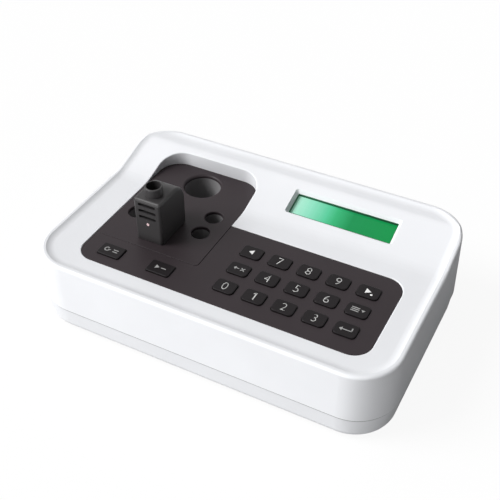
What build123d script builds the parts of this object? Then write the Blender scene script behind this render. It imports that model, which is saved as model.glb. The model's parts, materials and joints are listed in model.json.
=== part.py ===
from build123d import *
import math
import os

# A bench coagulation analyzer. Millimetres, +Z up, front towards -Y.
# The origin is on the surface it stands on, under the middle of the case.

# Case, outside
left_border = 27.7
right_border = 20.2
case_depth = 153.4
case_corner_radius = 28.4
case_draft_angle = 1.7
foot_stand = 2.0
slope_angle = 16.2
slope_run = 36.5
slope_end_set_in = 15.3
slope_foot_radius = 30.0
slope_top_radius = 12.0
rim_height = 1.2
rim_width = 3.1
rim_curve_radius = 10.0
rim_edge_radius = 1.8
bottom_edge_radius = 5.2
tray_taper = 2.0
tray_step = 0.5

# Case, walls and seam
wall = 2.6
seam_height = 16.9
seam_groove_height = 0.6
seam_groove_depth = 1.0
tongue_height = 3.0
tongue_thickness = 1.1
tongue_clearance = 0.2

# Panel area in the deck and the walled recess behind it
panel_front_y = -59.2
panel_back_y = 9.8
panel_corner_radius = 12.0
recess_back_set_in = 5.0
recess_corner_radius = 15.5
recess_edge_radius = 0.7
groove_y = -34.4
groove_corner_radius = 2.5
panel_thickness = 2.2
panel_set_down = 0.3
panel_edge_clearance = 0.15
panel_edge_radius = 0.25
ledge_width = 3.0
ledge_thickness = 2.0
skirt_wall = 2.4

# Keys
key_length = 13.6
key_width = 10.4
key_corner_radius = 2.4
key_edge_radius = 0.6
key_rise = 1.0
key_travel = 0.9
key_pitch_x = 19.2
key_pitch_y = 17.2
keypad_left_room = 17.2
keypad_right_room = 11.3
first_key_y = -8.2
side_key_length = 16.0
side_key_width = 10.4
side_key_corner_radius = 1.4
side_key_y = -46.5
restart_key_set_in = 19.5
start_key_set_in = 54.8
key_hole_clearance = 0.3
key_flange_lip = 0.8
key_flange_thickness = 1.0
key_flange_gap = 0.3
key_stem_radius = 1.5
key_stem_engagement = 1.4
key_names = (("key_left", "key_7", "key_8", "key_9", "key_right"),
             ("key_clear", "key_4", "key_5", "key_6", "key_menu"),
             ("key_0", "key_1", "key_2", "key_3", "key_enter"))

# Keypad board and its switches
board_thickness = 1.6
switch_side = 6.0
switch_height = 3.0
switch_bore_clearance = 0.3
switch_bore_floor = 0.4
key_end_gap = 0.4
keypad_board_inset = 1.0
keypad_boss_radius = 2.0
keypad_screw_radius = 1.0
small_head_radius = 1.9
small_head_height = 1.6
screw_clearance = 0.05
screw_bite = 1.2

# Incubator: wells, cups and heater block
incubator_left_room = 5.1
incubator_right_room = 7.7
reagent_well_back_room = 17.8
reagent_well_radius = 12.2
reagent_well_depth = 32.0
reagent_lip_radius = 1.8
reagent_cup_wall = 1.0
sample_well_offset_x = 23.6
sample_row_ys = (-5.4, 12.1)
sample_well_radius = 6.0
sample_well_depth = 24.0
sample_lip_radius = 0.6
sample_cup_wall = 0.9
cup_flange = 1.4
cup_flange_thickness = 1.0
cup_clearance = 0.2
heater_block_side_wall = 3.4
heater_block_front_y = -14.4
heater_block_back_room = 2.0
heater_block_height = 32.0
heater_block_drop = 3.0
block_edge_radius = 1.5
block_boss_radius = 3.2
block_screw_radius = 1.5
block_head_radius = 2.8
block_head_height = 2.0
back_block_screw_offset_x = 26.0
back_block_screw_back_room = 11.4
front_block_screw_offset_x = 10.0
front_block_screw_y = 4.0
heater_film_thickness = 0.4
heater_film_inset = 9.0
pad_thickness = 4.0
pad_inset = 1.0
sensor_radius = 2.0
sensor_length = 16.0
sensor_proud = 4.0
sensor_y = 24.0
sensor_height_share = 0.45

# Measuring cell under its cover
cover_width = 19.0
cover_depth = 29.0
cover_height = 31.0
cover_front_y = -27.8
cover_gap = 0.3
cover_wall = 2.0
cover_back_radius = 11.0
cover_edge_radius = 1.8
cover_top_radius = 2.0
collar_offset = 9.3
collar_radius = 5.6
collar_height = 6.0
collar_edge_radius = 0.6
funnel_radius = 4.6
funnel_depth = 9.0
slot_count = 3
slot_length = 12.4
slot_height = 2.1
slot_depth = 2.4
slot_pitch = 4.6
top_slot_height = 27.3
lens_radius = 0.95
lens_length = 2.6
lens_height = 13.3
lens_proud = 0.2
hinge_radius = 3.2
hinge_pin_radius = 1.2
hinge_clearance = 0.05
hinge_skin = 0.8
lug_width = 7.2
lug_side_gap = 0.4
lug_radius = 2.8
lug_slot_gap = 0.8
cell_width = 20.0
cell_depth = 20.0
cell_bottom_drop = 27.6
cell_bore_radius = 4.2
cell_bore_depth = 25.8
cell_edge_radius = 1.0
cell_ear = 6.0
cell_ear_thickness = 3.0
cell_ear_drop = 4.0
cell_screw_inset = 3.4
light_path_drop = 19.6
light_path_radius = 1.5
lamp_radius = 1.45
lamp_flange_radius = 2.6
lamp_flange_thickness = 2.0
lamp_length = 6.0
lamp_reach = 3.6
photodiode_side = 6.4
photodiode_thickness = 3.0
photodiode_nose = 2.5
cell_block_gap = 0.6
detector_board_height = 22.0

# Display in the slope
display_set_in = 57.3
display_set_down = 16.5
display_opening_width = 69.7
display_opening_height = 16.4
display_opening_radius = 0.6
display_bevel_width = 1.9
display_bevel_radius = 2.0
display_frame_side = 3.15
display_frame_edge = 6.3
display_frame_thickness = 2.0
display_frame_inset = 0.3
display_glass_margin = 2.0
display_glass_thickness = 2.8
backlight_thickness = 3.0
display_board_side = 5.5
display_screw_side = 3.0
display_screw_inset = 3.0
display_boss_radius = 2.2
display_screw_radius = 1.0

# Lower case: posts, feet and air slots
front_post_set_in = 12.0
front_post_y = -40.0
back_post_set_in = 16.0
back_post_back_room = 18.7
post_radius = 4.5
post_meet_height = 12.0
case_screw_radius = 1.5
case_screw_head_radius = 3.0
case_screw_head_height = 2.0
case_screw_bore_depth = 3.5
case_screw_length = 22.0
counterbore_clearance = 0.2
foot_side_set_in = 32.0
foot_end_set_in = 24.7
foot_radius = 7.0
foot_set_in = 0.8
foot_clearance = 0.1
foot_edge_radius = 0.6
air_slot_count = 7
air_slot_length = 30.0
air_slot_width = 2.4
air_slot_pitch = 6.0
air_slot_x = -56.0
air_slot_y = 0.0

# Main board
main_board_left_room = 2.1
main_board_right_room = 3.8
main_board_front_y = 10.0
main_board_height = 20.0
main_board_post_radius = 3.2
main_board_post_inset = 5.0
back_main_post_set_in = 14.0
board_screw_radius = 1.2
board_head_radius = 2.2
board_head_height = 1.6
board_screw_reach = 9.0
buzzer_radius = 6.0
buzzer_height = 7.5
buzzer_hole_radius = 1.2
buzzer_hole_depth = 3.0
buzzer_set_in = 14.0
buzzer_y = 34.0
processor_x = 46.0
processor_y = 34.0
processor_side = 14.0
chip_height = 2.0
chip_length = 10.0
chip_width = 6.0
chip_places = ((26.0, 34.0), (66.0, 30.0), (10.0, 29.0), (66.0, 39.0))
capacitor_radius = 4.0
capacitor_height = 11.0
capacitor_places = ((-1.0, 40.0), (9.0, 40.0))

# Rear plate and what it carries
rear_plate_x = 25.0
rear_opening_width = 116.0
rear_opening_height = 18.0
rear_opening_radius = 2.0
rear_seat_lip = 1.4
rear_plate_set_back = 4.4
rear_plate_thickness = 2.0
rear_plate_lap = 3.0
rear_fit = 0.3
inlet_x = 22.0
inlet_rise = 7.6
inlet_radius = 5.2
inlet_bore_radius = 2.8
inlet_bore_depth = 9.5
inlet_pin_radius = 1.0
inlet_body_depth = 13.0
inlet_proud = 2.0
inlet_pin_set_in = 1.0
inlet_pin_root = 1.0
serial_x = 60.0
serial_width = 31.0
serial_height = 13.8
serial_shell_width = 17.0
serial_shell_height = 8.4
serial_shell_wall = 0.7
serial_shell_radius = 2.2
serial_body_depth = 11.0
serial_proud = 3.6
serial_shell_root = 2.0
serial_pin_root = 0.6
serial_pin_radius = 0.5
serial_pin_pitch = 2.8
serial_pin_counts = (5, 4)
rocker_x = -14.0
rocker_rise = 10.6
switch_flange_width = 21.0
switch_flange_height = 15.0
switch_flange_thickness = 1.5
switch_body_width = 19.0
switch_body_height = 12.8
switch_body_depth = 15.0
rocker_length = 13.6
rocker_height = 8.6
rocker_crown = 3.2
rocker_waist = 2.4
rocker_skirt = 2.5
rocker_tilt = 8.0
rocker_pin_radius = 1.0
rocker_pin_length = 1.0
rocker_play = 0.3
rocker_swing_room = 0.8
rocker_pivot_depth = 1.4

# Ribbon cables
ribbon_thickness = 0.8
keypad_ribbon_width = 20.0
keypad_ribbon_x = 70.0
display_ribbon_width = 24.0
display_ribbon_x = 24.0
display_ribbon_drop = 7.0
ribbon_bend_radius = 3.0
ribbon_drop = 8.8
ribbon_stub = 5.0
header_depth = 6.0
header_height = 6.0
header_wall = 1.2

# One overrun for every cut
overrun = 10.0

# Widths and places that follow from what the case holds
well_reach = sample_well_offset_x + sample_well_radius + sample_lip_radius
incubator_width = 2 * well_reach + incubator_left_room + incubator_right_room
keys_width = (len(key_names[0]) - 1) * key_pitch_x + key_length
keypad_width = keypad_left_room + keys_width + keypad_right_room
case_width = left_border + incubator_width + keypad_width + right_border
panel_left_x = left_border - case_width / 2
panel_right_x = case_width / 2 - right_border
recess_right_x = panel_left_x + incubator_width
incubator_x = panel_left_x + incubator_left_room + well_reach
heater_block_width = 2 * (sample_well_offset_x + sample_well_radius + heater_block_side_wall)
first_key_x = recess_right_x + keypad_left_room + key_length / 2
restart_key_x = panel_left_x + restart_key_set_in
start_key_x = panel_left_x + start_key_set_in
display_x = panel_right_x - display_set_in
display_frame_width = display_opening_width + 2 * display_frame_side
display_frame_height = display_opening_height + 2 * display_frame_edge
display_board_width = display_frame_width + 2 * display_board_side
display_screw_dx = display_frame_width / 2 + display_screw_side
display_screw_dy = display_frame_height / 2 - display_screw_inset
front_post_x = case_width / 2 - front_post_set_in
back_post_x = case_width / 2 - back_post_set_in
back_post_y = case_depth / 2 - back_post_back_room
foot_x = case_width / 2 - foot_side_set_in
foot_y = case_depth / 2 - foot_end_set_in
slope_end_y = case_depth / 2 - slope_end_set_in
slope_start_y = slope_end_y - slope_run
display_y = slope_end_y - display_set_down
recess_back_y = slope_end_y - recess_back_set_in
reagent_well_y = recess_back_y - reagent_well_back_room
heater_block_back_y = recess_back_y - heater_block_back_room
back_block_screw_y = recess_back_y - back_block_screw_back_room
main_board_left_x = recess_right_x + main_board_left_room
main_board_right_x = panel_right_x - main_board_right_room
buzzer_x = main_board_right_x - buzzer_set_in

# Heights that several pieces share
slope_rise = math.tan(math.radians(slope_angle))
draft = math.tan(math.radians(case_draft_angle))
bottom_z = foot_stand
seam_z = bottom_z + seam_height
main_board_top_z = main_board_height + board_thickness
keypad_board_top_z = main_board_top_z + header_height + ribbon_drop + header_height + board_thickness
switch_top_z = keypad_board_top_z + switch_height
ledge_top_z = switch_top_z + key_end_gap + key_travel + key_flange_thickness + key_flange_gap
panel_top_z = ledge_top_z + panel_thickness
deck_z = panel_top_z + panel_set_down
deck_height = deck_z - bottom_z
strip_z = deck_z + (slope_end_y - slope_start_y) * slope_rise
above_z = strip_z + rim_height + overrun
ledge_bottom_z = ledge_top_z - ledge_thickness
tray_floor_z = bottom_z + wall
block_top_z = ledge_top_z - heater_block_drop
block_bottom_z = block_top_z - heater_block_height
cover_bottom_z = panel_top_z + cover_gap
cover_back_y = cover_front_y + cover_depth
collar_y = cover_front_y + collar_offset
hinge_y = cover_back_y - hinge_radius
hinge_z = cover_bottom_z + hinge_radius
lamp_z = ledge_top_z - light_path_drop
sensor_z = block_bottom_z + sensor_height_share * heater_block_height
rear_face_y = case_depth / 2 - rear_plate_set_back
rear_plate_back_y = rear_face_y - rear_plate_thickness
rear_seat_bottom_z = seam_z + tongue_height + 2 * tongue_clearance
rear_opening_bottom_z = rear_seat_bottom_z + rear_seat_lip
rear_seat_top_z = rear_opening_bottom_z + rear_opening_height + rear_plate_lap
inlet_z = main_board_top_z + inlet_rise
serial_z = main_board_top_z + serial_height / 2
rocker_z = main_board_top_z + rocker_rise
pivot_y = rear_face_y - rocker_pivot_depth
back_main_post_y = rear_plate_back_y - rear_fit - back_main_post_set_in
keypad_header_y = panel_back_y - ledge_width - header_depth
main_header_y = main_board_front_y + header_depth

# Depths below the slope, measured square to it
slope_wall = wall * math.cos(math.radians(slope_angle))
frame_back = slope_wall + display_frame_thickness
glass_back = frame_back + display_glass_thickness
backlight_back = glass_back + backlight_thickness
display_board_back = backlight_back + board_thickness


def box_between(x0, x1, y0, y1, z0, z1):
    """A block given by its two corners."""
    middle = Pos((x0 + x1) / 2, (y0 + y1) / 2, (z0 + z1) / 2)
    return middle * Box(x1 - x0, y1 - y0, z1 - z0)


def post(x, y, z0, z1, radius):
    """An upright cylinder between two heights."""
    return Pos(x, y, (z0 + z1) / 2) * Cylinder(radius, z1 - z0)


def rod_x(x0, x1, y, z, radius):
    """A cylinder along X."""
    return Pos((x0 + x1) / 2, y, z) * Rot(0, 90, 0) * Cylinder(radius, x1 - x0)


def rod_y(x, y0, y1, z, radius):
    """A cylinder along Y."""
    return Pos(x, (y0 + y1) / 2, z) * Rot(90, 0, 0) * Cylinder(radius, y1 - y0)


def joined(shapes):
    """All shapes of a list as one."""
    result = shapes[0]
    for shape in shapes[1:]:
        result = result + shape
    return result


def group(shapes):
    """Separate solids that share one node."""
    return Compound(children=[solid for shape in shapes for solid in shape.solids()])


# The outside of the case

def case_plan(z, inset=0.0):
    """The case's rounded outline at a height; the walls lean in by the draft."""
    lean = draft * (z - bottom_z) + inset
    outline = RectangleRounded(case_width - 2 * lean, case_depth - 2 * lean, case_corner_radius - lean)
    return Pos(0, 0, z) * outline


def case_prism(z0, z1, inset=0.0):
    """The leaning walls between two heights."""
    return loft([case_plan(z0, inset), case_plan(z1, inset)], ruled=True)


def tray_prism(z0, z1, inset=0.0):
    """The walls of the lower case, which draw in towards the bottom."""
    draw_in = tray_taper * (seam_z - z0) / (seam_z - bottom_z)
    return loft([case_plan(z0, inset + draw_in), case_plan(z1, inset)], ruled=True)


def above_top(lift):
    """Everything above the deck, slope and back strip, all raised by lift."""
    reach = case_depth / 2 + overrun
    line = FilletPolyline((-reach, deck_z + lift), (slope_start_y, deck_z + lift),
                          (slope_end_y, strip_z + lift), (reach, strip_z + lift),
                          radius=[slope_foot_radius, slope_top_radius])
    lid = Polyline((reach, strip_z + lift), (reach, above_z), (-reach, above_z), (-reach, deck_z + lift))
    side = make_face(Plane.YZ * (line + lid))
    return extrude(side, case_width / 2 + overrun, both=True)


def is_cross_edge(edge, edge_y):
    """True for an edge that runs from side to side inside the outline."""
    middle = edge.position_at(0.5)
    return abs(middle.X) < rim_height and abs(middle.Y) < edge_y - rim_height


def dish_cutter():
    """What is taken out of the top so that a soft rim stays all round."""
    reach = math.sqrt(rim_curve_radius ** 2 - (rim_curve_radius - rim_height) ** 2)
    grow = rim_curve_radius - reach - rim_width
    lean = draft * deck_height - grow
    outline = RectangleRounded(case_width - 2 * lean, case_depth - 2 * lean, case_corner_radius - lean)
    prism = extrude(Pos(0, 0, seam_z) * outline, above_z - seam_z)
    dish = prism & above_top(0)
    edge_y = case_depth / 2 - lean
    loop = []
    for edge in dish.edges():
        box = edge.bounding_box()
        upright = box.size.X < rim_height and box.size.Y < rim_height
        if box.max.Z < above_z - rim_height and not upright and not is_cross_edge(edge, edge_y):
            loop.append(edge)
    return fillet(loop, rim_curve_radius)


def upper_block():
    """The upper case as a solid, with its rim and rounded edges."""
    block = case_prism(seam_z, above_z) - above_top(rim_height)
    edge_y = case_depth / 2 - draft * deck_height
    rim_edges = []
    for edge in block.edges():
        if edge.bounding_box().min.Z > deck_z and not is_cross_edge(edge, edge_y - wall):
            rim_edges.append(edge)
    return fillet(rim_edges, rim_edge_radius) - dish_cutter()


# Outlines of the panel area

def panel_area():
    """The whole dark area: the keypad panel and the floor of the recess."""
    corners = ((panel_left_x, panel_front_y), (panel_right_x, panel_front_y),
               (panel_right_x, panel_back_y), (recess_right_x, panel_back_y),
               (recess_right_x, recess_back_y), (panel_left_x, recess_back_y))
    radii = [panel_corner_radius, panel_corner_radius, panel_corner_radius, 0,
             recess_corner_radius, recess_corner_radius]
    return make_face(FilletPolyline(*corners, radius=radii, close=True))


def keypad_area():
    """The panel beside and in front of the incubator."""
    corners = ((panel_left_x, panel_front_y), (panel_right_x, panel_front_y),
               (panel_right_x, panel_back_y), (recess_right_x, panel_back_y),
               (recess_right_x, groove_y), (panel_left_x, groove_y))
    radii = [panel_corner_radius, panel_corner_radius, panel_corner_radius, 0,
             groove_corner_radius, 0]
    return make_face(FilletPolyline(*corners, radius=radii, close=True))


def incubator_area():
    """The incubator cover, which is the floor of the recess."""
    corners = ((panel_left_x, groove_y), (recess_right_x, groove_y),
               (recess_right_x, recess_back_y), (panel_left_x, recess_back_y))
    radii = [0, groove_corner_radius, recess_corner_radius, recess_corner_radius]
    return make_face(FilletPolyline(*corners, radius=radii, close=True))


def plate(area, thickness, top_z):
    """A plate with the given outline, with its top edge eased."""
    body = extrude(Pos(0, 0, top_z - thickness) * area, thickness)
    return fillet(body.faces().sort_by(Axis.Z)[-1].edges(), panel_edge_radius)


# Screw places

def case_post_places():
    """The four places where the case halves are screwed together."""
    return [(side * x, y) for x, y in ((front_post_x, front_post_y), (back_post_x, back_post_y))
            for side in (-1, 1)]


def keypad_boss_places():
    """Screws between the keys that hold the keypad board."""
    left = first_key_x + key_pitch_x / 2
    right = left + 3 * key_pitch_x
    back = first_key_y - key_pitch_y / 2
    front = back - key_pitch_y
    between_side_keys = (restart_key_x + start_key_x) / 2
    return [(left, back), (right, back), (left, front), (right, front),
            (between_side_keys, side_key_y), ((start_key_x + left) / 2, side_key_y)]


def block_boss_places():
    """Screws that hold the heater block."""
    return [(incubator_x + side * dx, y) for side in (-1, 1)
            for dx, y in ((back_block_screw_offset_x, back_block_screw_y),
                          (front_block_screw_offset_x, front_block_screw_y))]


def cell_boss_places():
    """Screws through the ears of the measuring cell."""
    reach = cell_width / 2 + cell_ear - cell_screw_inset
    return [(incubator_x + side * reach, collar_y) for side in (-1, 1)]


def display_screw_places():
    """Places on the slope, measured from the middle of the display."""
    return [(dx * display_screw_dx, dy * display_screw_dy) for dx in (-1, 1) for dy in (-1, 1)]


def main_post_places():
    """Posts under the corners of the main board."""
    return [(x, y) for x in (main_board_left_x + main_board_post_inset,
                             main_board_right_x - main_board_post_inset)
            for y in (main_board_front_y + main_board_post_inset, back_main_post_y)]


# The slope's own frame: X to the right, Y up the slope, Z out of it

def on_slope(x, y, depth):
    """A place on the slope, moved into the case by depth."""
    ground_z = deck_z + (display_y - slope_start_y) * slope_rise
    angle = math.radians(slope_angle)
    frame = Plane(origin=(display_x, display_y, ground_z), x_dir=(1, 0, 0),
                  z_dir=(0, -math.sin(angle), math.cos(angle)))
    return frame.location * Pos(x, y, -depth)


def slope_plate(width, height, front, back):
    """A flat sheet parallel to the slope between two depths."""
    return on_slope(0, 0, (front + back) / 2) * Box(width, height, back - front)


# Case

def make_upper_case():
    block = upper_block()
    room = case_prism(seam_z - overrun, above_z, wall) - above_top(-wall)
    area = panel_area()
    skirt = extrude(Pos(0, 0, ledge_bottom_z) * offset(area, skirt_wall), above_z - ledge_bottom_z)
    case = (block - room) + (skirt & block)
    pocket = extrude(Pos(0, 0, ledge_top_z) * area, above_z - ledge_top_z)
    case = soft_mouth(case - pocket, pocket)
    for part in (keypad_area(), incubator_area()):
        hole = offset(part, -ledge_width)
        case = case - extrude(Pos(0, 0, ledge_bottom_z - overrun) * hole, above_z - ledge_bottom_z)
    rebate_inset = wall - tongue_thickness - tongue_clearance
    rebate_top_z = seam_z + tongue_height + tongue_clearance
    case = case - case_prism(seam_z - overrun, rebate_top_z, rebate_inset)
    case = case + upper_posts(block)
    screw_top = post_meet_height + case_screw_length
    for x, y in case_post_places():
        case = case - post(x, y, post_meet_height - overrun, screw_top, case_screw_radius + screw_clearance)
    case = case + rear_seat(block) - rear_opening()
    case = case - display_opening()
    boss_front = slope_wall / 2
    for x, y in display_screw_places():
        boss_middle = (boss_front + backlight_back) / 2
        case = case + on_slope(x, y, boss_middle) * Cylinder(display_boss_radius, backlight_back - boss_front)
    for x, y in display_screw_places():
        length = backlight_back - slope_wall + overrun
        hole_place = on_slope(x, y, slope_wall + length / 2)
        case = case - hole_place * Cylinder(display_screw_radius + screw_clearance, length)
    return case


def soft_mouth(case, pocket):
    """The case with the top edge of its panel pocket rounded."""
    walls = pocket.bounding_box()
    reach = panel_edge_radius
    mouth = []
    for edge in case.edges():
        box = edge.bounding_box()
        inside = (box.min.X > walls.min.X - reach and box.max.X < walls.max.X + reach
                  and box.min.Y > walls.min.Y - reach and box.max.Y < walls.max.Y + reach)
        upright = box.size.X + box.size.Y < reach
        if inside and not upright and box.min.Z > deck_z - reach / 2:
            mouth.append(edge)
    return fillet(mouth, recess_edge_radius)


def upper_posts(block):
    """The upper screw posts, from where they meet the lower ones to the roof."""
    room = case_prism(post_meet_height, seam_z, wall)
    posts = [post(x, y, post_meet_height, above_z, post_radius) for x, y in case_post_places()]
    return joined([p & (block + room) for p in posts])


def rear_seat(block):
    """A flat seat inside the back wall for the rear plate."""
    half = rear_opening_width / 2 + rear_plate_lap
    seat = box_between(rear_plate_x - half, rear_plate_x + half, rear_face_y, case_depth / 2,
                       rear_seat_bottom_z, rear_seat_top_z)
    return seat & block


def rear_opening():
    """The window in the back wall, down to the rear plate."""
    middle_z = rear_opening_bottom_z + rear_opening_height / 2
    outline = RectangleRounded(rear_opening_width, rear_opening_height, rear_opening_radius)
    place = Pos(rear_plate_x, case_depth / 2 + overrun, middle_z) * Rot(90, 0, 0)
    return extrude(place * outline, 2 * overrun)


def display_opening():
    """The bevelled opening in the slope over the display."""
    inner_outline = RectangleRounded(display_opening_width, display_opening_height, display_opening_radius)
    outer_outline = RectangleRounded(display_opening_width + 2 * display_bevel_width,
                                     display_opening_height + 2 * display_bevel_width, display_bevel_radius)
    inner = on_slope(0, 0, slope_wall) * inner_outline
    outer = on_slope(0, 0, 0) * outer_outline
    below = on_slope(0, 0, slope_wall + overrun) * inner_outline
    return loft([inner, outer], ruled=True) + extrude(outer, overrun) + extrude(below, overrun)


def make_lower_case():
    rim_z = seam_z - seam_groove_height
    body = tray_prism(bottom_z, rim_z, tray_step)
    body = fillet(body.faces().sort_by(Axis.Z)[0].edges(), bottom_edge_radius)
    body = body + case_prism(rim_z, seam_z, tray_step + seam_groove_depth)
    body = body + case_prism(rim_z, seam_z + tongue_height, wall - tongue_thickness)
    room = tray_prism(tray_floor_z, seam_z, wall)
    room = fillet(room.faces().sort_by(Axis.Z)[0].edges(), bottom_edge_radius - wall)
    room = room + case_prism(seam_z, seam_z + tongue_height + overrun, wall)
    body = body - room
    for x, y in case_post_places():
        body = body + post(x, y, bottom_z + wall / 2, post_meet_height, post_radius)
    for x, y in case_post_places():
        head_room = case_screw_head_radius + counterbore_clearance
        body = body - post(x, y, bottom_z - overrun, bottom_z + case_screw_bore_depth, head_room)
        body = body - post(x, y, bottom_z, post_meet_height + overrun, case_screw_radius + screw_clearance)
    for x, y in main_post_places():
        body = body + post(x, y, bottom_z + wall / 2, main_board_height, main_board_post_radius)
    for x, y in main_post_places():
        bore_radius = board_screw_radius + screw_clearance
        body = body - post(x, y, tray_floor_z, main_board_height + overrun, bore_radius)
    for x, y in foot_places():
        body = body - post(x, y, bottom_z - overrun, bottom_z + foot_set_in, foot_radius + foot_clearance)
    for n in range(air_slot_count):
        y = air_slot_y + (n - (air_slot_count - 1) / 2) * air_slot_pitch
        slot = Pos(air_slot_x, y, bottom_z - overrun) * SlotOverall(air_slot_length, air_slot_width)
        body = body - extrude(slot, 2 * overrun)
    return body


def foot_places():
    """Places of the four feet."""
    return [(side * foot_x, end * foot_y) for side in (-1, 1) for end in (-1, 1)]


def make_rubber_feet():
    feet = []
    for x, y in foot_places():
        foot = post(x, y, 0, bottom_z + foot_set_in, foot_radius)
        feet.append(fillet(foot.faces().sort_by(Axis.Z)[0].edges(), foot_edge_radius))
    return group(feet)


def make_case_screws():
    screws = []
    seat_z = bottom_z + case_screw_bore_depth
    for x, y in case_post_places():
        head = post(x, y, seat_z - case_screw_head_height, seat_z, case_screw_head_radius)
        shank_top = post_meet_height + case_screw_length - screw_bite
        screws.append(head + post(x, y, seat_z - case_screw_head_height, shank_top, case_screw_radius))
    return group(screws)


# Keypad

def key_places():
    """Name, place, length, width and corner radius of every key."""
    keys = []
    for row, names in enumerate(key_names):
        for column, name in enumerate(names):
            x = first_key_x + column * key_pitch_x
            y = first_key_y - row * key_pitch_y
            keys.append((name, x, y, key_length, key_width, key_corner_radius))
    for name, x in (("key_restart", restart_key_x), ("key_start", start_key_x)):
        keys.append((name, x, side_key_y, side_key_length, side_key_width, side_key_corner_radius))
    return keys


def make_key(x, y, length, width, radius):
    flange_top = ledge_top_z - key_flange_gap
    flange_bottom = flange_top - key_flange_thickness
    cap = extrude(Pos(x, y, flange_bottom) * RectangleRounded(length, width, radius),
                  panel_top_z + key_rise - flange_bottom)
    cap = fillet(cap.faces().sort_by(Axis.Z)[-1].edges(), key_edge_radius)
    flange = extrude(Pos(x, y, flange_bottom) * RectangleRounded(
        length + 2 * key_flange_lip, width + 2 * key_flange_lip, radius), key_flange_thickness)
    stem = post(x, y, switch_top_z - key_stem_engagement, flange_top, key_stem_radius)
    return cap + flange + stem


def make_keypad_panel():
    area = offset(keypad_area(), -panel_edge_clearance)
    panel = plate(area, panel_thickness, panel_top_z)
    for name, x, y, length, width, radius in key_places():
        hole = RectangleRounded(length + 2 * key_hole_clearance, width + 2 * key_hole_clearance,
                                radius + key_hole_clearance)
        panel = panel - extrude(Pos(x, y, ledge_top_z - overrun) * hole, 2 * overrun)
    for x, y in keypad_boss_places():
        panel = panel + post(x, y, keypad_board_top_z, ledge_top_z + panel_thickness / 2, keypad_boss_radius)
    for x, y in keypad_boss_places():
        hole_top = ledge_top_z + screw_bite
        bore_radius = keypad_screw_radius + screw_clearance
        panel = panel - post(x, y, keypad_board_top_z - overrun, hole_top, bore_radius)
    return panel


def make_keypad_board():
    inset = ledge_width + keypad_board_inset
    left = panel_left_x + inset
    front = panel_front_y + inset
    right = panel_right_x - inset
    back = panel_back_y - inset
    inner_x = recess_right_x + inset
    strip_top = groove_y - inset
    corners = ((left, front), (right, front), (right, back), (inner_x, back), (inner_x, strip_top),
               (left, strip_top))
    corner_radius = panel_corner_radius - inset
    area = make_face(FilletPolyline(*corners, radius=[corner_radius] * 3 + [0] * 3, close=True))
    board = extrude(Pos(0, 0, keypad_board_top_z - board_thickness) * area, board_thickness)
    for x, y in keypad_boss_places():
        board = board - post(x, y, keypad_board_top_z - overrun, keypad_board_top_z + overrun,
                             keypad_screw_radius + screw_clearance)
    return board


def make_key_switches():
    switches = []
    half = switch_side / 2
    for name, x, y, length, width, radius in key_places():
        body = box_between(x - half, x + half, y - half, y + half, keypad_board_top_z, switch_top_z)
        bore = post(x, y, keypad_board_top_z + switch_bore_floor, switch_top_z + overrun,
                    key_stem_radius + switch_bore_clearance)
        switches.append(body - bore)
    return group(switches)


def make_keypad_screws():
    screws = []
    under = keypad_board_top_z - board_thickness
    for x, y in keypad_boss_places():
        head = post(x, y, under - small_head_height, under, small_head_radius)
        screws.append(head + post(x, y, under - small_head_height, ledge_top_z, keypad_screw_radius))
    return group(screws)


# Incubator

def sample_places():
    """The four cuvette wells, left pair first."""
    return [(incubator_x + side * sample_well_offset_x, y) for side in (-1, 1) for y in sample_row_ys]


def make_cup(x, y, radius, cup_wall, depth):
    """A cup with a closed bottom that hangs under the cover by its flange."""
    outer = radius + cup_wall
    cup = post(x, y, panel_top_z - depth - cup_wall, ledge_top_z, outer)
    cup = cup + post(x, y, ledge_top_z - cup_flange_thickness, ledge_top_z, outer + cup_flange)
    return cup - post(x, y, panel_top_z - depth, panel_top_z + overrun, radius)


def make_reagent_cup():
    return make_cup(incubator_x, reagent_well_y, reagent_well_radius, reagent_cup_wall, reagent_well_depth)


def make_sample_cups():
    return group([make_cup(x, y, sample_well_radius, sample_cup_wall, sample_well_depth)
                  for x, y in sample_places()])


def eased_hole(body, x, y, radius, lip):
    """A hole through the cover plate with a rounded mouth."""
    body = body - post(x, y, ledge_top_z - overrun, panel_top_z + overrun, radius)
    mouth = []
    for edge in body.edges().filter_by(GeomType.CIRCLE):
        middle = edge.arc_center
        at_place = abs(middle.X - x) < lip and abs(middle.Y - y) < lip
        if at_place and abs(middle.Z - panel_top_z) < lip / 2 and abs(edge.radius - radius) < lip / 2:
            mouth.append(edge)
    return fillet(mouth, lip)


def make_incubator_cover():
    cover = plate(offset(incubator_area(), -panel_edge_clearance), panel_thickness, panel_top_z)
    cover = eased_hole(cover, incubator_x, reagent_well_y, reagent_well_radius, reagent_lip_radius)
    for x, y in sample_places():
        cover = eased_hole(cover, x, y, sample_well_radius, sample_lip_radius)
    cover = cover - post(incubator_x, collar_y, ledge_top_z - overrun, panel_top_z + overrun,
                         cell_bore_radius)
    inside = ledge_top_z + panel_thickness / 2
    for x, y in block_boss_places():
        cover = cover + post(x, y, block_top_z, inside, block_boss_radius)
    for x, y in cell_boss_places():
        cover = cover + post(x, y, ledge_top_z - cell_ear_drop, inside, keypad_boss_radius)
    hole_top = ledge_top_z + screw_bite
    for x, y in block_boss_places():
        cover = cover - post(x, y, block_top_z - overrun, hole_top, block_screw_radius + screw_clearance)
    for x, y in cell_boss_places():
        cover = cover - post(x, y, block_top_z - overrun, hole_top, keypad_screw_radius + screw_clearance)
    return cover


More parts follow.
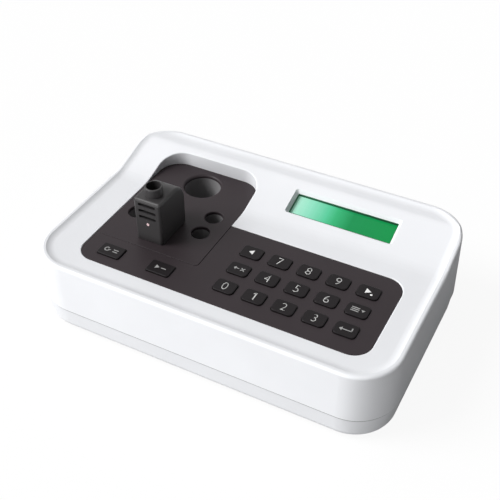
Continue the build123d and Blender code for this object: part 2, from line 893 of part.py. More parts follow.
def make_hinge_lug():
    """The ear that stands on the incubator cover and carries the hinge pin."""
    x0 = incubator_x - lug_width / 2
    x1 = incubator_x + lug_width / 2
    ear = rod_x(x0, x1, hinge_y, hinge_z, lug_radius)
    ear = ear + box_between(x0, x1, hinge_y - lug_radius, hinge_y + lug_radius, panel_top_z, hinge_z)
    return ear - rod_x(x0 - overrun, x1 + overrun, hinge_y, hinge_z, hinge_pin_radius + hinge_clearance)


def make_heater_block():
    half = heater_block_width / 2
    block = box_between(incubator_x - half, incubator_x + half, heater_block_front_y, heater_block_back_y,
                        block_bottom_z, block_top_z)
    block = fillet(block.edges().filter_by(Axis.Z), block_edge_radius)
    reach = cell_width / 2 + cell_block_gap
    cell_back = collar_y + cell_depth / 2 + cell_block_gap
    block = block - box_between(incubator_x - reach, incubator_x + reach, heater_block_front_y - overrun,
                                cell_back, block_bottom_z - overrun, block_top_z + overrun)
    wells = [(incubator_x, reagent_well_y, reagent_well_radius + reagent_cup_wall,
              reagent_well_depth + reagent_cup_wall)]
    wells += [(x, y, sample_well_radius + sample_cup_wall, sample_well_depth + sample_cup_wall)
              for x, y in sample_places()]
    for x, y, radius, depth in wells:
        floor_z = panel_top_z - depth - cup_clearance
        block = block - post(x, y, floor_z, block_top_z + overrun, radius + cup_clearance)
    for x, y in block_boss_places():
        block = block - post(x, y, block_bottom_z - overrun, block_top_z + overrun,
                             block_screw_radius + screw_clearance)
        block = block - post(x, y, block_bottom_z - overrun, block_bottom_z + block_head_height,
                             block_head_radius + counterbore_clearance)
    right = incubator_x + half
    return block - rod_x(right - sensor_length + sensor_proud, right + overrun, sensor_y, sensor_z,
                         sensor_radius + screw_clearance)


def heater_sheet(inset, top_z, thickness):
    """A flat sheet under the heater block, behind the measuring cell."""
    half = heater_block_width / 2 - inset
    front = collar_y + cell_depth / 2 + cell_block_gap + inset
    return box_between(incubator_x - half, incubator_x + half, front, heater_block_back_y - inset,
                       top_z - thickness, top_z)


def make_heater_film():
    return heater_sheet(heater_film_inset, block_bottom_z, heater_film_thickness)


def make_insulation_pad():
    pad = heater_sheet(pad_inset, block_bottom_z, pad_thickness)
    pocket = heater_sheet(heater_film_inset - cup_clearance, block_bottom_z + overrun,
                          heater_film_thickness + overrun)
    return pad - pocket


def make_temperature_sensor():
    right = incubator_x + heater_block_width / 2 + sensor_proud
    return rod_x(right - sensor_length, right, sensor_y, sensor_z, sensor_radius)


def make_incubator_screws():
    screws = []
    for x, y in block_boss_places():
        head = post(x, y, block_bottom_z, block_bottom_z + block_head_height, block_head_radius)
        screws.append(head + post(x, y, block_bottom_z, ledge_top_z, block_screw_radius))
    ear_bottom = ledge_top_z - cell_ear_drop - cell_ear_thickness
    for x, y in cell_boss_places():
        head = post(x, y, ear_bottom - small_head_height, ear_bottom, small_head_radius)
        screws.append(head + post(x, y, ear_bottom - small_head_height, ledge_top_z, keypad_screw_radius))
    return group(screws)


# Measuring cell

def make_measuring_cell():
    x0 = incubator_x - cell_width / 2
    x1 = incubator_x + cell_width / 2
    y0 = collar_y - cell_depth / 2
    y1 = collar_y + cell_depth / 2
    bottom = ledge_top_z - cell_bottom_drop
    cell = box_between(x0, x1, y0, y1, bottom, ledge_top_z)
    cell = fillet(cell.edges().filter_by(Axis.Z), cell_edge_radius)
    ear_top = ledge_top_z - cell_ear_drop
    cell = cell + box_between(x0 - cell_ear, x1 + cell_ear, collar_y - cell_screw_inset,
                              collar_y + cell_screw_inset, ear_top - cell_ear_thickness, ear_top)
    cell = cell - post(incubator_x, collar_y, panel_top_z - cell_bore_depth, panel_top_z, cell_bore_radius)
    cell = cell - rod_x(x0 - overrun, incubator_x, collar_y, lamp_z, light_path_radius)
    cell = cell - rod_y(incubator_x, y0 - overrun, collar_y, lamp_z, light_path_radius)
    for x, y in cell_boss_places():
        cell = cell - post(x, y, bottom, ear_top + cell_ear_thickness, keypad_screw_radius + screw_clearance)
    return cell


def make_lamp_diode():
    face = incubator_x - cell_width / 2
    lamp = rod_x(face - lamp_flange_thickness, face, collar_y, lamp_z, lamp_flange_radius)
    return lamp + rod_x(face - lamp_length + lamp_reach, face + lamp_reach, collar_y, lamp_z, lamp_radius)


def make_photodiode():
    face = collar_y - cell_depth / 2
    half = photodiode_side / 2
    diode = box_between(incubator_x - half, incubator_x + half, face - photodiode_thickness, face,
                        lamp_z - half, lamp_z + half)
    nose_end = face + photodiode_nose
    return diode + rod_y(incubator_x, face - photodiode_thickness, nose_end, lamp_z, lamp_radius)


def make_detector_board():
    front = collar_y - cell_depth / 2 - photodiode_thickness
    half = cell_width / 2
    low = ledge_top_z - cell_bottom_drop
    return box_between(incubator_x - half, incubator_x + half, front - board_thickness, front,
                       low, low + detector_board_height)


def make_measuring_cell_cover():
    top = cover_bottom_z + cover_height
    x0 = incubator_x - cover_width / 2
    x1 = incubator_x + cover_width / 2
    corners = ((cover_front_y, cover_bottom_z), (cover_back_y, cover_bottom_z),
               (cover_back_y, top), (cover_front_y, top))
    profile = FilletPolyline(*corners, close=True, radius=[0, 0, cover_back_radius, cover_top_radius])
    cover = extrude(Plane.YZ.offset(x0) * make_face(profile), cover_width)
    front_edges = [e for e in cover.edges().filter_by(Axis.Z)
                   if abs(e.position_at(0.5).Y - cover_front_y) < cover_gap]
    cover = fillet(front_edges, cover_edge_radius)
    corner = box_between(x0 - overrun, x1 + overrun, hinge_y, cover_back_y + overrun,
                         cover_bottom_z - overrun, hinge_z)
    cover = cover - (corner - rod_x(x0 - overrun, x1 + overrun, hinge_y, hinge_z, hinge_radius))
    cover = cover + collar(top)
    cover = cover - cover_room(top)
    cover = cover + rod_x(x0 + cover_edge_radius, x1 - cover_edge_radius, hinge_y, hinge_z, hinge_radius)
    gap_x = lug_width / 2 + lug_side_gap
    cover = cover - box_between(incubator_x - gap_x, incubator_x + gap_x, hinge_y - hinge_radius,
                                cover_back_y + overrun, cover_bottom_z - overrun,
                                hinge_z + hinge_radius + lug_slot_gap)
    cover = cover - rod_x(x0 - overrun, x1 - hinge_skin, hinge_y, hinge_z, hinge_pin_radius + hinge_clearance)
    slot_outline = SlotOverall(slot_length, slot_height)
    for n in range(slot_count):
        z = cover_bottom_z + top_slot_height - n * slot_pitch
        slot = Pos(incubator_x, cover_front_y + slot_depth, z) * Rot(90, 0, 0) * slot_outline
        cover = cover - extrude(slot, slot_depth + overrun)
    lens_z = cover_bottom_z + lens_height
    return cover - rod_y(incubator_x, cover_front_y - overrun, cover_front_y - lens_proud + lens_length,
                         lens_z, lens_radius + hinge_clearance)


def collar(top):
    """The raised ring that guides a pipette tip."""
    ring = post(incubator_x, collar_y, top - cover_wall / 2, top + collar_height, collar_radius)
    return fillet(ring.faces().sort_by(Axis.Z)[-1].edges(), collar_edge_radius)


def cover_room(top):
    """The hollow of the cover with the funnel above it."""
    x0 = incubator_x - cover_width / 2 + cover_wall
    x1 = incubator_x + cover_width / 2 - cover_wall
    front = cover_front_y + cover_wall
    roof = top + collar_height - funnel_depth - cover_wall
    room = box_between(x0, x1, front, cover_back_y - cover_wall, cover_bottom_z - overrun,
                       top - cover_back_radius)
    room = room + box_between(x0, x1, front, cover_back_y - cover_back_radius, cover_bottom_z - overrun, roof)
    funnel_z = top + collar_height - funnel_depth
    funnel = Pos(incubator_x, collar_y, funnel_z + funnel_depth / 2) * Cone(
        cell_bore_radius, funnel_radius, funnel_depth)
    throat = post(incubator_x, collar_y, roof - cover_wall, funnel_z + cover_wall / 2, cell_bore_radius)
    return room + funnel + throat


def make_cover_lens():
    z = cover_bottom_z + lens_height
    y = cover_front_y - lens_proud
    lens = rod_y(incubator_x, y, y + lens_length, z, lens_radius)
    return fillet(lens.faces().sort_by(Axis.Y)[0].edges(), lens_proud)


def make_cover_hinge_pin():
    x0 = incubator_x - cover_width / 2 + hinge_skin
    x1 = incubator_x + cover_width / 2 - hinge_skin - cover_gap
    return rod_x(x0, x1, hinge_y, hinge_z, hinge_pin_radius)


# Display

def make_display_frame():
    frame = slope_plate(display_frame_width, display_frame_height, slope_wall, frame_back)
    width = display_opening_width - 2 * display_frame_inset
    height = display_opening_height - 2 * display_frame_inset
    return frame - slope_plate(width, height, slope_wall - overrun, frame_back + overrun)


def display_layer(front, back):
    """A sheet the size of the display glass."""
    width = display_opening_width + 2 * display_glass_margin
    height = display_opening_height + 2 * display_glass_margin
    return slope_plate(width, height, front, back)


def make_display_glass():
    return display_layer(frame_back, glass_back)


def make_display_backlight():
    return display_layer(glass_back, backlight_back)


def make_display_board():
    board = slope_plate(display_board_width, display_frame_height, backlight_back, display_board_back)
    for x, y in display_screw_places():
        board = board - on_slope(x, y, display_board_back) * Cylinder(
            display_screw_radius + screw_clearance, 2 * overrun)
    return board


def make_display_screws():
    screws = []
    shank_end = slope_wall + screw_bite
    head_back = display_board_back + small_head_height
    for x, y in display_screw_places():
        head_place = on_slope(x, y, display_board_back + small_head_height / 2)
        head = head_place * Cylinder(small_head_radius, small_head_height)
        shank_place = on_slope(x, y, (shank_end + head_back) / 2)
        screws.append(head + shank_place * Cylinder(display_screw_radius, head_back - shank_end))
    return group(screws)


# Main board

def make_main_board():
    board = box_between(main_board_left_x, main_board_right_x, main_board_front_y,
                        rear_plate_back_y - rear_fit, main_board_height, main_board_top_z)
    for x, y in main_post_places():
        board = board - post(x, y, main_board_height - overrun, main_board_top_z + overrun,
                             board_screw_radius + screw_clearance)
    return board


def make_board_screws():
    screws = []
    head_top = main_board_top_z + board_head_height
    for x, y in main_post_places():
        head = post(x, y, main_board_top_z, head_top, board_head_radius)
        screws.append(head + post(x, y, main_board_height - board_screw_reach, head_top, board_screw_radius))
    return group(screws)


def make_board_chips():
    top = main_board_top_z
    half = processor_side / 2
    chips = [box_between(processor_x - half, processor_x + half, processor_y - half, processor_y + half,
                         top, top + chip_height)]
    for x, y in chip_places:
        chips.append(box_between(x - chip_length / 2, x + chip_length / 2, y - chip_width / 2,
                                 y + chip_width / 2, top, top + chip_height))
    for x, y in capacitor_places:
        chips.append(post(x, y, top, top + capacitor_height, capacitor_radius))
    return group(chips)


def make_buzzer():
    top = main_board_top_z + buzzer_height
    buzzer = post(buzzer_x, buzzer_y, main_board_top_z, top, buzzer_radius)
    return buzzer - post(buzzer_x, buzzer_y, top - buzzer_hole_depth, top + overrun, buzzer_hole_radius)


# Ribbon cables and the headers that they plug into

def header(x, y, z, width):
    """A board header that the end of a ribbon plugs into."""
    half_w = width / 2 + header_wall
    half_d = header_depth / 2
    return box_between(x - half_w, x + half_w, y - half_d, y + half_d, z, z + header_height)


def behind_display(depth):
    """A place behind the display board where its ribbon leaves."""
    return on_slope(display_ribbon_x - display_x, -display_ribbon_drop, display_board_back + depth)


def make_board_connectors():
    keypad_header_z = keypad_board_top_z - board_thickness - header_height
    parts = [header(keypad_ribbon_x, keypad_header_y, keypad_header_z, keypad_ribbon_width),
             header(keypad_ribbon_x, main_header_y, main_board_top_z, keypad_ribbon_width),
             header(display_ribbon_x, main_header_y, main_board_top_z, display_ribbon_width),
             behind_display(header_height / 2) * Box(display_ribbon_width + 2 * header_wall,
                                                     header_depth, header_height)]
    return group(parts)


def ribbon(points, x, width):
    """A flat cable along a path in the Y-Z plane."""
    path = FilletPolyline(*points, radius=ribbon_bend_radius)
    strip = trace(path, line_width=ribbon_thickness)
    return extrude(Plane.YZ.offset(x - width / 2) * strip, width)


def make_keypad_ribbon():
    top = keypad_board_top_z - board_thickness - header_height
    bottom = main_board_top_z + header_height
    middle = (top + bottom) / 2
    return ribbon(((keypad_header_y, top), (keypad_header_y, middle), (main_header_y, middle),
                   (main_header_y, bottom)), keypad_ribbon_x, keypad_ribbon_width)


def make_display_ribbon():
    start = behind_display(header_height).position
    bend = behind_display(header_height + ribbon_stub).position
    bottom = main_board_top_z + header_height
    return ribbon(((start.Y, start.Z), (bend.Y, bend.Z), (main_header_y, bottom + ribbon_stub),
                   (main_header_y, bottom)), display_ribbon_x, display_ribbon_width)


# Rear plate and connectors

def make_rear_plate():
    half = rear_opening_width / 2 + rear_plate_lap - rear_fit
    low = rear_seat_bottom_z + rear_fit
    high = rear_seat_top_z - rear_fit
    sheet = box_between(rear_plate_x - half, rear_plate_x + half, rear_plate_back_y, rear_face_y, low, high)
    sheet = sheet - rod_y(inlet_x, rear_plate_back_y - overrun, rear_face_y + overrun, inlet_z,
                          inlet_radius + rear_fit)
    serial_half_w = serial_shell_width / 2 + rear_fit
    serial_half_h = serial_shell_height / 2 + rear_fit
    sheet = sheet - box_between(serial_x - serial_half_w, serial_x + serial_half_w,
                                rear_plate_back_y - overrun, rear_face_y + overrun,
                                serial_z - serial_half_h, serial_z + serial_half_h)
    half_w = switch_body_width / 2 + rear_fit
    half_h = switch_body_height / 2 + rear_fit
    return sheet - box_between(rocker_x - half_w, rocker_x + half_w, rear_plate_back_y - overrun,
                               rear_face_y + overrun, rocker_z - half_h, rocker_z + half_h)


def make_power_inlet():
    barrel_end = rear_face_y + inlet_proud
    half = inlet_radius
    body = rod_y(inlet_x, rear_plate_back_y - rear_fit, barrel_end, inlet_z, inlet_radius)
    body = body + box_between(inlet_x - half, inlet_x + half, rear_plate_back_y - inlet_body_depth,
                              rear_plate_back_y - rear_fit, main_board_top_z, inlet_z + half)
    body = body - rod_y(inlet_x, barrel_end - inlet_bore_depth, barrel_end + overrun, inlet_z, inlet_bore_radius)
    root = barrel_end - inlet_bore_depth - inlet_pin_root
    return body - rod_y(inlet_x, root, barrel_end, inlet_z, inlet_pin_radius)


def make_inlet_pin():
    barrel_end = rear_face_y + inlet_proud
    return rod_y(inlet_x, barrel_end - inlet_bore_depth - inlet_pin_root,
                 barrel_end - inlet_pin_set_in, inlet_z, inlet_pin_radius)


def make_serial_port():
    half = serial_width / 2
    back = rear_plate_back_y - rear_fit
    body = box_between(serial_x - half, serial_x + half, back - serial_body_depth, back,
                       main_board_top_z, main_board_top_z + serial_height)
    end = rear_face_y + serial_proud
    outline = RectangleRounded(serial_shell_width, serial_shell_height, serial_shell_radius)
    hollow = RectangleRounded(serial_shell_width - 2 * serial_shell_wall,
                              serial_shell_height - 2 * serial_shell_wall,
                              serial_shell_radius - serial_shell_wall)
    mouth = Pos(serial_x, end, serial_z) * Rot(90, 0, 0)
    port = body + extrude(mouth * outline, end - back + serial_shell_root)
    port = port - extrude(mouth * hollow, end - back + serial_shell_root)
    pin_back = back - serial_shell_root
    for row, count in enumerate(serial_pin_counts):
        z = serial_z + (len(serial_pin_counts) / 2 - row) * serial_pin_pitch - serial_pin_pitch / 2
        for n in range(count):
            x = serial_x + (n - (count - 1) / 2) * serial_pin_pitch
            port = port + rod_y(x, pin_back - serial_pin_root, rear_face_y, z, serial_pin_radius)
    return port


def make_power_switch():
    half_w = switch_flange_width / 2
    half_h = switch_flange_height / 2
    flange = box_between(rocker_x - half_w, rocker_x + half_w, rear_face_y,
                         rear_face_y + switch_flange_thickness, rocker_z - half_h, rocker_z + half_h)
    half_w = switch_body_width / 2
    half_h = switch_body_height / 2
    body = flange + box_between(rocker_x - half_w, rocker_x + half_w, rear_face_y - switch_body_depth,
                                rear_face_y, rocker_z - half_h, rocker_z + half_h)
    room_w = rocker_length / 2 + rocker_swing_room
    room_h = rocker_height / 2 + rocker_play
    floor = pivot_y - rocker_skirt - 2 * rocker_swing_room
    body = body - box_between(rocker_x - room_w, rocker_x + room_w, floor, rear_face_y + overrun,
                              rocker_z - room_h, rocker_z + room_h)
    pin_reach = rocker_height / 2 + rocker_pin_length + rocker_play
    return body - post(rocker_x, pivot_y, rocker_z - pin_reach, rocker_z + pin_reach,
                       rocker_pin_radius + hinge_clearance)


def make_switch_rocker():
    half = rocker_length / 2
    corners = ((-half, -rocker_skirt), (half, -rocker_skirt), (half, rocker_crown),
               (0, rocker_waist), (-half, rocker_crown))
    face = make_face(Polyline(*corners, close=True))
    body = extrude(Pos(0, 0, -rocker_height / 2) * face, rocker_height)
    pin = Cylinder(rocker_pin_radius, rocker_height + 2 * rocker_pin_length)
    return Pos(rocker_x, pivot_y, rocker_z) * Rot(0, 0, -rocker_tilt) * (body + pin)


makers = {
    "upper_case": make_upper_case,
    "lower_case": make_lower_case,
    "rubber_feet": make_rubber_feet,
    "case_screws": make_case_screws,
    "keypad_panel": make_keypad_panel,
    "keypad_board": make_keypad_board,
    "key_switches": make_key_switches,
    "keypad_screws": make_keypad_screws,
    "incubator_cover": make_incubator_cover,
    "hinge_lug": make_hinge_lug,
    "reagent_cup": make_reagent_cup,
    "sample_cups": make_sample_cups,
    "heater_block": make_heater_block,
    "heater_film": make_heater_film,
    "insulation_pad": make_insulation_pad,
    "temperature_sensor": make_temperature_sensor,
    "incubator_screws": make_incubator_screws,
    "measuring_cell": make_measuring_cell,
    "lamp_diode": make_lamp_diode,
    "photodiode": make_photodiode,
    "detector_board": make_detector_board,
    "measuring_cell_cover": make_measuring_cell_cover,
    "cover_lens": make_cover_lens,
    "cover_hinge_pin": make_cover_hinge_pin,
    "display_frame": make_display_frame,
    "display_glass": make_display_glass,
    "display_backlight": make_display_backlight,
    "display_board": make_display_board,
    "display_screws": make_display_screws,
    "main_board": make_main_board,
    "board_screws": make_board_screws,
    "board_chips": make_board_chips,
    "buzzer": make_buzzer,
    "board_connectors": make_board_connectors,
    "keypad_ribbon": make_keypad_ribbon,
    "display_ribbon": make_display_ribbon,
    "rear_plate": make_rear_plate,
    "power_inlet": make_power_inlet,
    "inlet_pin": make_inlet_pin,
    "serial_port": make_serial_port,
    "power_switch": make_power_switch,
    "switch_rocker": make_switch_rocker,
}


def write_parts():
    os.makedirs("parts", exist_ok=True)
    for name, make in makers.items():
        export_step(make(), f"parts/{name}.step")
    for name, x, y, length, width, radius in key_places():
        export_step(make_key(x, y, length, width, radius), f"parts/{name}.step")


write_parts()
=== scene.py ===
import bmesh
import bpy
import json
import math
from mathutils import Matrix, Vector


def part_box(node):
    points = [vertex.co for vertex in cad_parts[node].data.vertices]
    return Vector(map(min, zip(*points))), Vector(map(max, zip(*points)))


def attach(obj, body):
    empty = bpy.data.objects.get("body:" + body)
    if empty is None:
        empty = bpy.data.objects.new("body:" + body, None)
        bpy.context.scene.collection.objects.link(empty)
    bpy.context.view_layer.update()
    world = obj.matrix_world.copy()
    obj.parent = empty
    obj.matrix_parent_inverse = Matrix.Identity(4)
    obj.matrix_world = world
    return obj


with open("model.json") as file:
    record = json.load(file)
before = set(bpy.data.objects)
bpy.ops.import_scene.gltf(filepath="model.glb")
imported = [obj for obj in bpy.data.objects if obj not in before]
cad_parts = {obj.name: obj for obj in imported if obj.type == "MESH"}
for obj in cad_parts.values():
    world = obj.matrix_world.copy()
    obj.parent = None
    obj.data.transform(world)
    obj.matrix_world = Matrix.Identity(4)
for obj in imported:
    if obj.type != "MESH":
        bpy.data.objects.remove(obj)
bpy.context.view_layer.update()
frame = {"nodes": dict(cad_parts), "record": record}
nodes = frame["nodes"]
MM = 0.001

# Seam: painted shade, a dark band on the case where the groove between its two halves lies in shade
SEAM_LOW = 17.9 * MM
SEAM_HIGH = 19.0 * MM
SEAM_PAINTED_SHADE = (0.36, 0.37, 0.37, 1)

# Display: the backlit field with a painted highlight paler towards its left, and its character cells
GLOW_AND_HIGHLIGHT_INSET = 3 * MM
GLOW_STRENGTH = 0.25
CELL_WIDTH = 3.9 * MM
CELL_HEIGHT = 6.6 * MM
CELL_GAP = 0.3 * MM
CELL_GAP_SOFTNESS = 0.6

# Key legends: the printed layer, and the digits
LEGEND_THICK = 0.04 * MM
LEGEND_SINK = 0.01 * MM
DIGIT_HEIGHT = 6.0 * MM
DIGIT_WIDTH_SHARE = 0.92
DIGIT_THINNING = -0.018

# Key legends: strokes and dots of the drawn signs, in millimetres as the signs themselves are
STROKE = 0.62
ONE_STEM = 0.8
DOT_RADIUS = 0.75
DOT_SEGMENTS = 24
ARC_STEPS = 28

# Camera, at the photograph's viewing angle
SENSOR_WIDTH = 36.0
FOCAL_LENGTH = 62.29
CLIP_START = 10 * MM
CAMERA_PLACE = Vector((0.19035, -0.36748, 0.39840))
CAMERA_WAY = Vector((-0.35149, 0.67577, -0.64791))

# Floor
FLOOR_RADIUS = 4.0
FLOOR_SEGMENTS = 64
FLOOR_DROP = 0.2 * MM
FLOOR_BOUNCE = (0.26, 0.26, 0.26, 1)
FLOOR_SHADOW = (0.07, 0.07, 0.07, 1)
FLOOR_GLOW = 0.925

# Lamps: a broad sun from the left, and two flat lamps low over the table, in front and on the right
SUN_STRENGTH = 3.1
SUN_SPREAD = math.radians(30)
SUN_WAY = Vector((0.62, 0.36, -0.68))
FRONT_LAMP_PLACE = Vector((-0.16, -0.61, 0.035))
FRONT_LAMP_AIM = Vector((0.0, -0.08, 0.035))
FRONT_LAMP_SIZE = (0.60, 0.05)
FRONT_LAMP_POWER = 1.6
SIDE_LAMP_PLACE = Vector((0.70, -0.16, 0.025))
SIDE_LAMP_AIM = Vector((0.05, 0.0, 0.02))
SIDE_LAMP_SIZE = (0.40, 0.03)
SIDE_LAMP_POWER = 0.6

# Sky: brightest towards one side, and dark on the other
SKY_WAY = (-0.74, -0.28, 0.40)
SKY_SPAN = (0.08, 0.8)
SKY_STRENGTH = 0.78

WHITE = (1, 1, 1, 1)


# Steps that several sections share

def new_object(name, data):
    """A new object in the scene, at the origin."""
    thing = bpy.data.objects.new(name, data)
    bpy.context.scene.collection.objects.link(thing)
    return thing


def aim(thing, way):
    """Turns a camera or a lamp to look along a direction."""
    thing.rotation_euler = way.to_track_quat("-Z", "Y").to_euler()


def feed(tree, socket, value):
    """Links an input to another node's output, or sets it to a plain value."""
    if isinstance(value, bpy.types.NodeSocket):
        tree.links.new(value, socket)
    else:
        socket.default_value = value


def maths(tree, operation, first, second):
    """The result of one calculation with two numbers."""
    node = tree.nodes.new("ShaderNodeMath")
    node.operation = operation
    feed(tree, node.inputs[0], first)
    feed(tree, node.inputs[1], second)
    return node.outputs["Value"]


def map_range(tree, value, source=(0.0, 1.0), target=(0.0, 1.0)):
    """A number carried over from one range to another."""
    node = tree.nodes.new("ShaderNodeMapRange")
    node.inputs["From Min"].default_value = source[0]
    node.inputs["From Max"].default_value = source[1]
    node.inputs["To Min"].default_value = target[0]
    node.inputs["To Max"].default_value = target[1]
    tree.links.new(value, node.inputs["Value"])
    return node.outputs["Result"]


def mix_colours(tree, factor, first, second, blend="MIX"):
    """Two colours blended by a factor."""
    node = tree.nodes.new("ShaderNodeMix")
    node.data_type = "RGBA"
    node.blend_type = blend
    feed(tree, node.inputs["Factor"], factor)
    feed(tree, node.inputs["A"], first)
    feed(tree, node.inputs["B"], second)
    return node.outputs["Result"]


# Materials

def new_material(name):
    """A node material with a Principled shader; gives the material, its tree and the shader."""
    material = bpy.data.materials.new(name)
    material.use_nodes = True
    tree = material.node_tree
    shader = tree.nodes["Principled BSDF"]
    return material, tree, shader


def object_place(tree):
    """The place on the piece, in metres."""
    return tree.nodes.new("ShaderNodeTexCoord").outputs["Object"]


def object_axis(tree, axis):
    """The place on the piece along one axis, in metres."""
    split = tree.nodes.new("ShaderNodeSeparateXYZ")
    tree.links.new(object_place(tree), split.inputs["Vector"])
    return split.outputs[axis]


def object_noise(tree, scale, detail, stretch=(1, 1, 1)):
    """Noise that stays fixed to the piece."""
    mapping = tree.nodes.new("ShaderNodeMapping")
    mapping.inputs["Scale"].default_value = stretch
    tree.links.new(object_place(tree), mapping.inputs["Vector"])
    noise = tree.nodes.new("ShaderNodeTexNoise")
    noise.inputs["Scale"].default_value = scale
    noise.inputs["Detail"].default_value = detail
    tree.links.new(mapping.outputs["Vector"], noise.inputs["Vector"])
    return noise.outputs["Fac"]


def ramp(tree, source, stops):
    """A colour ramp fed by a number, with its stops in rising order."""
    node = tree.nodes.new("ShaderNodeValToRGB")
    tree.links.new(source, node.inputs["Fac"])
    elements = node.color_ramp.elements
    while len(elements) < len(stops):
        elements.new(1.0)
    for element, (position, color) in zip(elements, stops):
        element.position = position
        element.color = (*color, 1)
    return node.outputs["Color"]


def add_bump(tree, shader, height, strength, distance):
    """A fine relief on the surface."""
    bump = tree.nodes.new("ShaderNodeBump")
    bump.inputs["Strength"].default_value = strength
    bump.inputs["Distance"].default_value = distance
    tree.links.new(height, bump.inputs["Height"])
    tree.links.new(bump.outputs["Normal"], shader.inputs["Normal"])


def vary_roughness(tree, shader, source, middle, spread):
    """Roughness that wanders about its middle value."""
    roughness = map_range(tree, source, target=(middle - spread, middle + spread))
    tree.links.new(roughness, shader.inputs["Roughness"])


def moulded(name, color, roughness, drift=0.03, grain=2200.0, depth=0.02 * MM, specular=0.5, coat=0.0):
    """Moulded plastic: a slow drift in tone, a fine spark-eroded grain and uneven sheen."""
    material, tree, shader = new_material(name)
    dark = tuple(c * (1 - drift) for c in color)
    light = tuple(min(c * (1 + drift), 1.0) for c in color)
    slow = object_noise(tree, scale=26.0, detail=2.0)
    tone = ramp(tree, slow, [(0.35, dark), (0.65, light)])
    tree.links.new(tone, shader.inputs["Base Color"])
    fine = object_noise(tree, scale=grain, detail=2.0)
    vary_roughness(tree, shader, fine, roughness, spread=0.06)
    add_bump(tree, shader, fine, strength=0.35, distance=depth)
    shader.inputs["Specular IOR Level"].default_value = specular
    shader.inputs["Coat Weight"].default_value = coat
    return material


def metal(name, color, roughness, stretch=(1, 1, 1)):
    """Metal with a drawn or milled grain."""
    material, tree, shader = new_material(name)
    dark = tuple(c * 0.86 for c in color)
    grain = object_noise(tree, scale=900.0, detail=3.0, stretch=stretch)
    tone = ramp(tree, grain, [(0.3, dark), (0.7, color)])
    tree.links.new(tone, shader.inputs["Base Color"])
    vary_roughness(tree, shader, grain, roughness, spread=0.07)
    add_bump(tree, shader, grain, strength=0.25, distance=0.02 * MM)
    shader.inputs["Metallic"].default_value = 1.0
    return material


def case_material():
    """White moulded plastic, with painted shade on a band at the groove between the two halves of the
    case.
    """
    material = moulded("case", (0.80, 0.81, 0.835), roughness=0.42, drift=0.012, grain=2400.0,
                       depth=0.012 * MM, specular=0.3)
    tree = material.node_tree
    base = tree.nodes["Principled BSDF"].inputs["Base Color"]
    plastic = base.links[0].from_socket
    # Painted shade: a dark band at the height of the seam groove, standing in for the shade that lies in
    # it
    height = object_axis(tree, "Z")
    under = maths(tree, "LESS_THAN", height, SEAM_HIGH)
    over = maths(tree, "GREATER_THAN", height, SEAM_LOW)
    painted_shade_band = maths(tree, "MULTIPLY", under, over)
    tree.links.new(mix_colours(tree, painted_shade_band, plastic, SEAM_PAINTED_SHADE), base)
    return material


def board_material():
    """Green solder mask with copper tracks showing as a faint relief."""
    material, tree, shader = new_material("circuit_board")
    tracks = tree.nodes.new("ShaderNodeTexBrick")
    tracks.inputs["Scale"].default_value = 160.0
    tracks.inputs["Mortar Size"].default_value = 0.03
    tracks.inputs["Color1"].default_value = (0.012, 0.12, 0.05, 1)
    tracks.inputs["Color2"].default_value = (0.016, 0.15, 0.062, 1)
    tracks.inputs["Mortar"].default_value = (0.03, 0.24, 0.1, 1)
    tree.links.new(object_place(tree), tracks.inputs["Vector"])
    tree.links.new(tracks.outputs["Color"], shader.inputs["Base Color"])
    add_bump(tree, shader, tracks.outputs["Fac"], strength=0.3, distance=0.03 * MM)
    shader.inputs["Roughness"].default_value = 0.35
    return material


def display_cells(tree):
    """Faint rows of character cells."""
    cells = tree.nodes.new("ShaderNodeTexBrick")
    cells.offset = 0.0
    cells.inputs["Scale"].default_value = 1.0
    cells.inputs["Brick Width"].default_value = CELL_WIDTH
    cells.inputs["Row Height"].default_value = CELL_HEIGHT
    cells.inputs["Mortar Size"].default_value = CELL_GAP
    cells.inputs["Mortar Smooth"].default_value = CELL_GAP_SOFTNESS
    cells.inputs["Color1"].default_value = (0.965, 0.965, 0.965, 1)
    cells.inputs["Color2"].default_value = (0.975, 0.975, 0.975, 1)
    cells.inputs["Mortar"].default_value = WHITE
    tree.links.new(object_place(tree), cells.inputs["Vector"])
    return cells.outputs["Color"]


def display_material():
    """The backlit display, with a painted highlight that makes it paler towards the left."""
    material, tree, shader = new_material("display_glass")
    low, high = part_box("display_glass")
    along = map_range(tree, object_axis(tree, "X"), source=(low.x + GLOW_AND_HIGHLIGHT_INSET, high.x - GLOW_AND_HIGHLIGHT_INSET))
    # Painted highlight: the colour fades from pale mint at the left to deep green at the right, in the
    # base colour as well as the backlight glow
    glow = ramp(tree, along, [
        (0.0, (0.36, 0.69, 0.54)), (0.16, (0.218, 0.588, 0.423)), (0.33, (0.083, 0.47, 0.262)),
        (0.42, (0.034, 0.365, 0.152)), (0.58, (0.008, 0.225, 0.068)), (1.0, (0.004, 0.222, 0.054))])
    lit = mix_colours(tree, 1.0, glow, display_cells(tree), blend="MULTIPLY")
    tree.links.new(lit, shader.inputs["Emission Color"])
    tree.links.new(lit, shader.inputs["Base Color"])
    shader.inputs["Emission Strength"].default_value = GLOW_STRENGTH
    shader.inputs["Roughness"].default_value = 0.12
    shader.inputs["Specular IOR Level"].default_value = 0.15
    return material


def ribbon_material():
    """Grey flat cable with its parallel wires."""
    material, tree, shader = new_material("ribbon")
    wires = tree.nodes.new("ShaderNodeTexWave")
    wires.inputs["Scale"].default_value = 250.0
    tree.links.new(object_place(tree), wires.inputs["Vector"])
    tone = ramp(tree, wires.outputs["Fac"], [(0.2, (0.3, 0.31, 0.33)), (0.8, (0.55, 0.56, 0.58))])
    tree.links.new(tone, shader.inputs["Base Color"])
    add_bump(tree, shader, wires.outputs["Fac"], strength=0.6, distance=0.2 * MM)
    shader.inputs["Roughness"].default_value = 0.5
    return material


